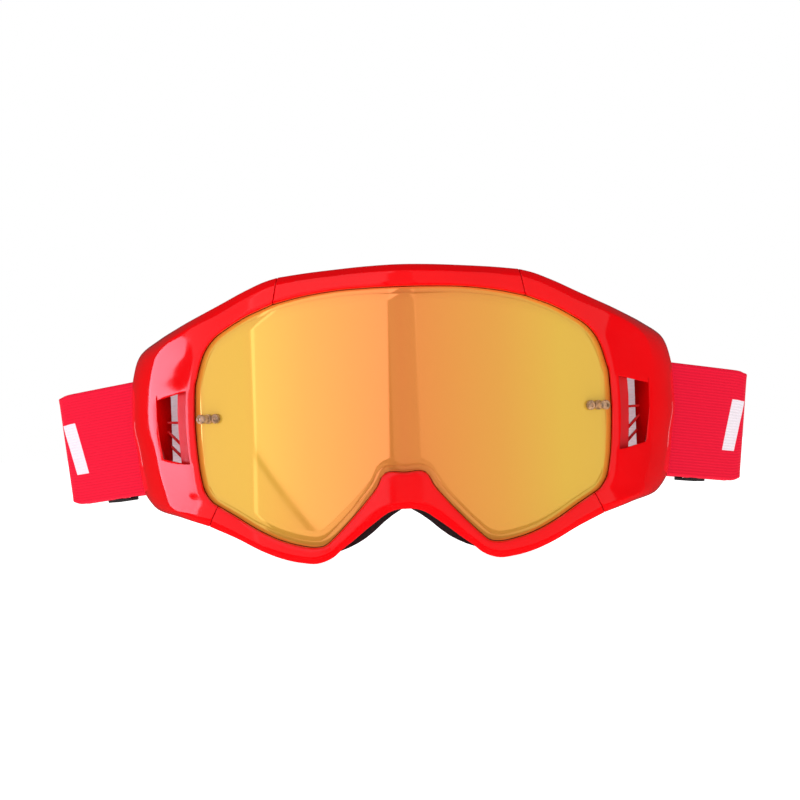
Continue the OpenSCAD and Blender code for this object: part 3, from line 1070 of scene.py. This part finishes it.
def swell(piece, shrink, pressure, cap):
    """Shrinks a piece a little and swells it again by cloth pressure, moving no point past cap."""
    normals = [v.normal.copy() for v in piece.data.vertices]
    for vertex, normal in zip(piece.data.vertices, normals):
        vertex.co -= normal * shrink
    start = [v.co.copy() for v in piece.data.vertices]
    cloth = piece.modifiers.new("pressure", "CLOTH")
    cloth.settings.use_pressure = True
    cloth.settings.uniform_pressure_force = pressure
    cloth.settings.effector_weights.gravity = 0
    cloth.settings.quality = 4
    cloth.settings.mass = 0.3
    cloth.collision_settings.use_collision = False
    cloth.point_cache.frame_start, cloth.point_cache.frame_end = 1, 20
    for step in range(1, 21):
        bpy.context.scene.frame_set(step)
    pick(piece)
    bpy.ops.object.modifier_apply(modifier=cloth.name)
    bpy.context.scene.frame_set(1)
    for vertex, at_start in zip(piece.data.vertices, start):
        moved = vertex.co - at_start
        if moved.length > cap:
            moved *= cap / moved.length
        vertex.co = at_start + moved


def soft_piece(node, name, voxel, shrink, pressure, cap):
    """A foam piece swollen by cloth pressure from its CAD solid."""
    piece = copy_of_node(node, name)
    apply_modifier(piece, "REMESH", "even_cells", mode="VOXEL", voxel_size=voxel)
    swell(piece, shrink, pressure, cap)
    apply_modifier(piece, "SMOOTH", "soft_corners", factor=0.5, iterations=2)
    apply_modifier(piece, "SUBSURF", "finer", levels=1, render_levels=1)
    smooth(piece, 180)
    return piece


class GOGGLES_OT_foams(bpy.types.Operator):
    """Builds the three face layers and the vent foams as soft pieces"""
    bl_idname = "goggles.foams"
    bl_label = "Foams"

    def execute(self, context):
        layers = (("foam_base", "face_foam_firm", "foam_open_cell", "foam", 1.3),
                  ("foam_soft", "face_foam_soft", "foam_open_cell", "foam", 1.3),
                  ("fleece_liner", "face_fleece", "fleece_black", "fleece", 1.0))
        for node, name, finish_name, slot, voxel in layers:
            layer = soft_piece(node, name, voxel * MM, 0.25 * MM, 3.0, 0.45 * MM)
            finish(layer, "frame", slot, of_name(finish_name), node)
        for node, name in (("vent_foam_top", "vent_strip_top"),
                           ("vent_foam_lower_left", "vent_strip_lower_left"),
                           ("vent_foam_lower_right", "vent_strip_lower_right")):
            strip = soft_piece(node, name, 0.8 * MM, 0.15 * MM, 2.0, 0.2 * MM)
            finish(strip, "frame", "foam", of_name("vent_foam_cells"), node)
        return {"FINISHED"}


def slim_rims(slider, s, side):
    """Makes the rims at a slider's two ends thinner and brings them close to the strap's edges."""
    inner_edge = s.width / 2 + 0.35 * MM
    new_edge = s.width / 2 * (1 - s.tail_narrow) + 0.3 * MM
    middle = (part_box("strap_slider_right")[0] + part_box("strap_slider_right")[1]) / 2
    for vertex in slider.data.vertices:
        along = ((vertex.co.x * side - middle.x) * math.cos(s.splay)
                 + (vertex.co.y - middle.y) * math.sin(s.splay))
        centre = middle.z - along * math.tan(s.droop)
        height = vertex.co.z - centre
        if abs(height) > inner_edge - 0.2 * MM:
            slim = new_edge + (abs(height) - inner_edge) * 0.55
            height = math.copysign(slim, height)
        vertex.co.z = centre + height + 0.5 * MM


class GOGGLES_OT_hard_parts(bpy.types.Operator):
    """Gives the frame, seal, bars and sliders their finish"""
    bl_idname = "goggles.hard_parts"
    bl_label = "Frame, seal, bars and sliders"

    def execute(self, context):
        for node, name in (("face_frame", "frame_satin"), ("lens_seal", "seal_rubber"),
                           ("strap_bar_left", "steel_drawn"), ("strap_bar_right", "steel_drawn")):
            slots = frame["nodes"][node].data.materials
            slots.clear()
            slots.append(of_name(name)[0])
        for side in ("left", "right"):
            node = "strap_slider_" + side
            slider = copy_of_node(node, "ladder_slider_" + side)
            apply_modifier(slider, "DECIMATE", "flat_faces", decimate_type="DISSOLVE",
                           angle_limit=math.radians(1))
            slim_rims(slider, context.scene.goggles_strap, 1 if side == "right" else -1)
            bevel(slider, 0.3 * MM, 3, 50)
            smooth(slider, 35)
            finish(slider, "slider_" + side, "slider_black", of_name("slider_black"), node)
        return {"FINISHED"}


# ---- strap ----

def normal_of(heading):
    """The outward normal, seen from above, of a path that runs in the direction of heading."""
    return Vector((math.sin(heading), -math.cos(heading)))


class StrapPath:
    """The strap's middle line, seen from above on the right, as the frame's bars and back give it."""

    def __init__(self, s):
        self.s = s
        bar_radius = (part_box("strap_bar_right")[1].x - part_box("strap_bar_right")[0].x) / 2
        self.wrap_radius = bar_radius + s.wrap_gap + s.thickness / 2
        self.along = Vector((math.cos(s.splay), math.sin(s.splay)))
        self.outward = normal_of(s.splay)
        self.bar = Vector((BAR.x, BAR.y))
        self.mid_z = STRAP_HEIGHT
        widest = CAD_BOX[1].x - s.thickness / 2
        self.side = ((widest - s.fold_radius * (1 - math.sin(s.splay)) - self.bar.x
                      - self.wrap_radius * math.sin(s.splay)) / math.cos(s.splay))
        fold_start = self.bar + self.outward * self.wrap_radius + self.along * self.side
        self.fold_middle = fold_start - self.outward * s.fold_radius
        self.back_z = self.mid_z - self.side * math.tan(s.droop)
        self.back_start = self.fold_middle + s.fold_radius * normal_of(math.pi - s.bow)
        self.back_radius = self.back_start.x / math.sin(s.bow)

    def outer(self, distance):
        place = self.bar + self.outward * self.wrap_radius + self.along * distance
        return place, self.outward, self.mid_z - distance * math.tan(self.s.droop), 1.0

    def tail(self, distance):
        place = self.bar - self.outward * self.wrap_radius + self.along * distance
        drop = self.s.tail_drop + distance * math.tan(self.s.droop)
        return place, -self.outward, self.mid_z - drop, 1 - self.s.tail_narrow

    def wrap(self, share):
        angle = self.s.splay - math.pi / 2 - math.pi * share
        normal = Vector((math.cos(angle), math.sin(angle)))
        width = 1 - self.s.tail_narrow * share
        return self.bar + self.wrap_radius * normal, normal, self.mid_z - self.s.tail_drop * share, width

    def fold(self, share):
        normal = normal_of(self.s.splay + (math.pi - self.s.bow - self.s.splay) * share)
        return self.fold_middle + self.s.fold_radius * normal, normal, self.back_z, 1.0

    def back(self, share):
        normal = normal_of(math.pi + self.s.bow * share)
        middle = Vector((0, self.back_start.y - self.back_radius * math.cos(self.s.bow)))
        height = self.back_z + self.s.back_rise * (1 - share * share)
        return middle + self.back_radius * normal, normal, height, 1.0

    def stations(self):
        """Stations from the tail's end on the right, round the bar and the fold, to the other tail."""
        half = [self.tail(self.s.tail * (1 - i / 26)) for i in range(27)]
        half += [self.wrap(1 - i / 16) for i in range(1, 17)]
        half += [self.outer(self.side * i / 34) for i in range(1, 35)]
        half += [self.fold(i / 20) for i in range(1, 21)]
        back = [self.back(i / 32) for i in range(-31, 32)]
        mirror = [(Vector((-p.x, p.y)), Vector((-n.x, n.y)), z, w) for p, n, z, w in reversed(half)]
        return half + back + mirror


def strap_section(s):
    """Points round the strap's section as (share of half thickness outwards, height), outer face first."""
    half, corner = s.width / 2, 0.55 * MM
    outer = [(1.0, half - corner - (2 * half - 2 * corner) * i / STRAP_STEPS)
             for i in range(STRAP_STEPS + 1)]
    welt = [(1.0 + 0.10 * max(0.0, math.cos(min(math.pi / 2, (half - abs(z)) / (1.6 * MM)))), z)
            for _, z in outer]
    bottom = [(0.72, -half + 0.12 * MM), (0.0, -half), (-0.72, -half + 0.12 * MM)]
    inner = [(-1.0, -z) for _, z in outer]
    top = [(-0.72, half - 0.12 * MM), (0.0, half), (0.72, half - 0.12 * MM)]
    return welt + bottom + inner + top


def ribbon(name, stations, s):
    """The strap's band through its stations, with a UV map of path length and height."""
    around = strap_section(s)
    lengths = [0.0]
    for a, b in zip(stations, stations[1:]):
        lengths.append(lengths[-1] + (b[0] - a[0]).length)
    middle = lengths[-1] / 2

    def place(column, row):
        centre, normal, z, share_of_width = stations[column]
        share, height = around[row]
        out = share * s.thickness / 2
        reach = min(1, max(0, (abs(centre.x) - BAR.x) / (CAD_BOX[1].x - BAR.x)))
        lean = s.lean * reach * reach * (3 - 2 * reach) * height * math.copysign(1, centre.x)
        past_fold = (CAD_BOX[1].x - s.thickness / 2 - abs(centre.x)) / (2 * MM)
        pinched = height * share_of_width * (1 - 0.045 * math.exp(-past_fold * past_fold))
        return Vector((centre.x + normal.x * out + lean, centre.y + normal.y * out, z + pinched))

    obj = placed_grid(name, len(stations), len(around), place, closed=True)
    layer = obj.data.uv_layers.get("UVMap") or obj.data.uv_layers.new(name="path")
    layer.name = "path"
    columns = len(stations)
    for loop in obj.data.loops:
        column, row = loop.vertex_index % columns, loop.vertex_index // columns
        layer.data[loop.index].uv = (lengths[column] - middle, around[row % len(around)][1])
    return obj


def stitch(low, high, height):
    """One stitch: a thin rounded thread from low to high along X, height proud of Z."""
    deselect()
    bpy.ops.mesh.primitive_cylinder_add(vertices=8, radius=0.16 * MM, depth=high - low,
                                        rotation=(0, math.pi / 2, 0),
                                        location=((low + high) / 2, 0, height))
    thread = bpy.context.object
    apply_place(thread)
    for vertex in thread.data.vertices:
        vertex.co.z = height + (vertex.co.z - height) * 0.8
    bevel(thread, 0.06 * MM, 1, 60)
    return thread


def hem(path, s):
    """The tail's turned-over hem with its rows of stitches, on the right."""
    half_w, depth = s.width / 2 * (1 - s.tail_narrow) - 0.35 * MM, s.thickness
    outline = [(-s.hem, 0.0), (-s.hem + 0.2 * MM, depth * 0.75), (-s.hem + 0.7 * MM, depth),
               (-0.9 * MM, depth), (-0.3 * MM, depth * 0.8), (0.0, depth * 0.3), (0.0, -0.2 * MM),
               (-s.hem, -0.2 * MM)]
    fold = plate("hem_fold", outline, -half_w, half_w)
    bevel(fold, 0.2 * MM, 2, 50)
    count, pitch = 15, 2.5 * MM
    first = stitch(-0.85 * MM, 0.85 * MM, depth)
    threads = []
    for row_x in (-s.hem + 1.3 * MM, -1.9 * MM):
        for i in range(count):
            thread = own_copy(first, "stitch")
            turn = Matrix(((0, 1, 0, row_x), (0, 0, 1, 0), (1, 0, 0, (i - (count - 1) / 2) * pitch),
                           (0, 0, 0, 1)))
            thread.data.transform(turn)
            threads.append(thread)
    bpy.data.objects.remove(first)
    stitches = join(threads, "hem_stitches")
    centre, _, z, _ = path.tail(s.tail)
    inward = -path.outward
    place = Matrix(((path.along.x, inward.x, 0, centre.x + inward.x * s.thickness / 2),
                    (path.along.y, inward.y, 0, centre.y + inward.y * s.thickness / 2),
                    (-math.tan(s.droop), 0, 1, z), (0, 0, 0, 1)))
    for piece in (fold, stitches):
        piece.data.transform(place)
        face_outwards(piece)
        smooth(piece, 40)
    return fold, stitches


class GOGGLES_OT_strap(bpy.types.Operator):
    """Builds the elastic strap with its doubled-back ends, hems and stitches"""
    bl_idname = "goggles.strap"
    bl_label = "Strap"

    def execute(self, context):
        s, colours = context.scene.goggles_strap, context.scene.goggles_colours
        path = StrapPath(s)
        strap = ribbon("elastic_strap", path.stations(), s)
        fold_at = path.back_radius * s.bow + s.fold_radius * (math.pi - s.bow - s.splay)
        blocks = [(side * (fold_at + 4.5 * MM), 7.5 * MM, side * 0.25, 9.5 * MM) for side in (-1, 1)]
        outer = strap_material(tuple(colours.strap), tuple(colours.lining), blocks)
        lining = lining_material(tuple(colours.lining))
        inner_first = STRAP_STEPS + 1 + EDGE_POINTS
        inner_rows = range(inner_first, inner_first + STRAP_STEPS)
        columns = len(path.stations())
        for made in (outer, lining):
            strap.data.materials.append(made)
        for polygon in strap.data.polygons:
            row = min(v // columns for v in polygon.vertices)
            polygon.material_index = 1 if row in inner_rows else 0
        close_ends(strap)
        smooth(strap, 50)
        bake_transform(strap)
        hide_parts("strap_end_left", "strap_end_right", "strap_side_left", "strap_side_right",
                    "strap_back")
        fold, stitches = hem(path, s)
        for piece, made in ((fold, lining), (stitches, of_name("thread")[0])):
            left = mirrored_copy(piece, piece.name + "_left")
            piece.name += "_right"
            for half in (piece, left):
                uv = half.data.uv_layers.get("UVMap")
                if uv is not None:
                    uv.name = "path"
                finish(half, "frame", "strap_red", [made])
        return {"FINISHED"}


# ---- stage ----

def towards(azimuth, elevation):
    """The direction from the goggles to an azimuth and elevation, in degrees. The front is at 0."""
    a, e = math.radians(azimuth), math.radians(elevation)
    return Vector((math.sin(a) * math.cos(e), -math.cos(a) * math.cos(e), math.sin(e)))


def softbox(name, azimuth, elevation, distance, width, height, strength, colour, roll):
    """A soft light that looks at the goggles from an azimuth and elevation, with a roll, in degrees."""
    data = bpy.data.lights.new(name, "AREA")
    data.shape = "RECTANGLE"
    data.size, data.size_y = width, height
    data.energy = strength * math.pi * width * height
    data.color = colour
    light = bpy.data.objects.new(name, data)
    bpy.context.scene.collection.objects.link(light)
    toward = towards(azimuth, elevation)
    light.location = toward * distance + Vector((0, -20 * MM, 0))
    look = (-toward).to_track_quat("-Z", "Y") @ Quaternion((0, 0, 1), math.radians(roll))
    light.rotation_euler = look.to_euler()


def background(nodes, colour, strength):
    """A world background's shader."""
    node = nodes.new("ShaderNodeBackground")
    node.inputs["Color"].default_value = (*colour, 1)
    node.inputs["Strength"].default_value = strength
    return node.outputs["Background"]


def mix_shaders(nodes, links, factor, off, on):
    """The shader off where the factor is 0, and on where it is 1."""
    node = nodes.new("ShaderNodeMixShader")
    for socket, value in enumerate((factor, off, on)):
        links.new(value, node.inputs[socket])
    return node.outputs["Shader"]


PINK, PINKER = (1.0, 0.84, 0.95), (1.0, 0.72, 0.95)
NEUTRAL, TOP_TINT = (1.0, 0.96, 0.97), (1.0, 0.95, 0.97)
# Each light's azimuth and elevation in degrees, distance, width and height in metres, strength,
# colour and roll in degrees.
LIGHTS = {"key_left": (-32.5, 13.2, 1.25, 1.36, 0.8, 1.1, PINK, -7.3),
          "key_low": (-35.2, -10.4, 1.25, 1.36, 0.24, 0.72, PINK, -7.3),
          "key_side": (-77.5, 6, 1.25, 0.78, 1.0, 0.66, PINK, -7.3),
          "side_left": (-104, -1.0, 0.7, 0.31, 0.09, 4.6, PINKER, 0),
          "fill_middle": (1, 6, 1.3, 0.24, 1.1, 0.24, NEUTRAL, 0),
          "fill_right": (49, 6, 1.3, 2.42, 1.1, 0.46, NEUTRAL, 0),
          "top": (0, 72, 1.0, 0.9, 0.5, 0.9, TOP_TINT, 0)}


class GOGGLES_OT_stage(bpy.types.Operator):
    """Sets the pale floor, the soft lights and the camera"""
    bl_idname = "goggles.stage"
    bl_label = "Stage"

    def execute(self, context):
        scene = context.scene
        floor_z = CAD_BOX[0].z - 0.4 * MM
        deselect()
        bpy.ops.mesh.primitive_plane_add(size=1)
        floor = bpy.context.object
        floor.name = "stage_floor"
        for vertex in floor.data.vertices:
            vertex.co = (vertex.co.x * 12, 5 if vertex.co.y > 0 else -5, floor_z)
        pale = material("stage_white", Roughness=0.9, Specular_IOR_Level=0.0,
                        Emission_Color=(1, 1, 1, 1), Emission_Strength=1.0)
        mottled(pale, (0.9, 0.9, 0.9), 0.995, 1.0, 2)
        floor.data.materials.append(pale)
        floor.visible_glossy = False
        for name, values in LIGHTS.items():
            softbox(name, *values)
        world = bpy.data.worlds.new("studio")
        scene.world = world
        world.use_nodes = True
        nodes, links = world.node_tree.nodes, world.node_tree.links
        ray = nodes.new("ShaderNodeLightPath").outputs
        lit = mix_shaders(nodes, links, ray["Is Glossy Ray"],
                          background(nodes, NEUTRAL, 0.42), background(nodes, NEUTRAL, 0.06))
        seen = mix_shaders(nodes, links, ray["Is Camera Ray"], lit, background(nodes, (1, 1, 1), 1.0))
        links.new(seen, nodes["World Output"].inputs["Surface"])
        scene.view_settings.view_transform = "Standard"
        camera_data = bpy.data.cameras.new("camera")
        camera_data.lens, camera_data.sensor_width = 90, 36
        camera = bpy.data.objects.new("camera", camera_data)
        scene.collection.objects.link(camera)
        back, roll = towards(0.2, -1.0), math.radians(-2.1)
        target = Vector((-0.8 * MM, SHELL_FRONT, 3.6 * MM))
        camera.location = target + back * 0.642
        look = (-back).to_track_quat("-Z", "Y").to_matrix().to_4x4()
        camera.matrix_world = Matrix.Translation(camera.location) @ look @ Matrix.Rotation(roll, 4, "Z")
        scene.camera = camera
        return {"FINISHED"}


class GOGGLES_PT_panel(bpy.types.Panel):
    """Sizes, colours and steps of the goggles"""
    bl_idname = "GOGGLES_PT_panel"
    bl_label = "Motocross goggles"
    bl_space_type = "VIEW_3D"
    bl_region_type = "UI"
    bl_category = "Goggles"

    def draw(self, context):
        for group in GROUPS:
            settings = getattr(context.scene, group)
            box = self.layout.box()
            for name in settings.bl_rna.properties.keys():
                if name not in {"rna_type", "name"}:
                    box.prop(settings, name)
        for step in STEPS:
            self.layout.operator(step.bl_idname)


GROUPS = {"goggles_shells": GogglesShellSettings, "goggles_lens": GogglesLensSettings,
          "goggles_strap": GogglesStrapSettings, "goggles_colours": GogglesColourSettings}
STEPS = (GOGGLES_OT_stage, GOGGLES_OT_materials, GOGGLES_OT_front_shells, GOGGLES_OT_outriggers,
         GOGGLES_OT_lens, GOGGLES_OT_posts, GOGGLES_OT_hard_parts, GOGGLES_OT_foams, GOGGLES_OT_strap)
CLASSES = (*GROUPS.values(), *STEPS, GOGGLES_PT_panel)


def register():
    for made in CLASSES:
        bpy.utils.register_class(made)
    for name, group in GROUPS.items():
        setattr(bpy.types.Scene, name, PointerProperty(type=group))


def unregister():
    for name in GROUPS:
        delattr(bpy.types.Scene, name)
    for made in reversed(CLASSES):
        bpy.utils.unregister_class(made)


def main():
    register()
    for step in STEPS:
        group, name = step.bl_idname.split(".")
        getattr(getattr(bpy.ops, group), name)()
    bpy.context.view_layer.update()


if __name__ == "__main__":
    main()
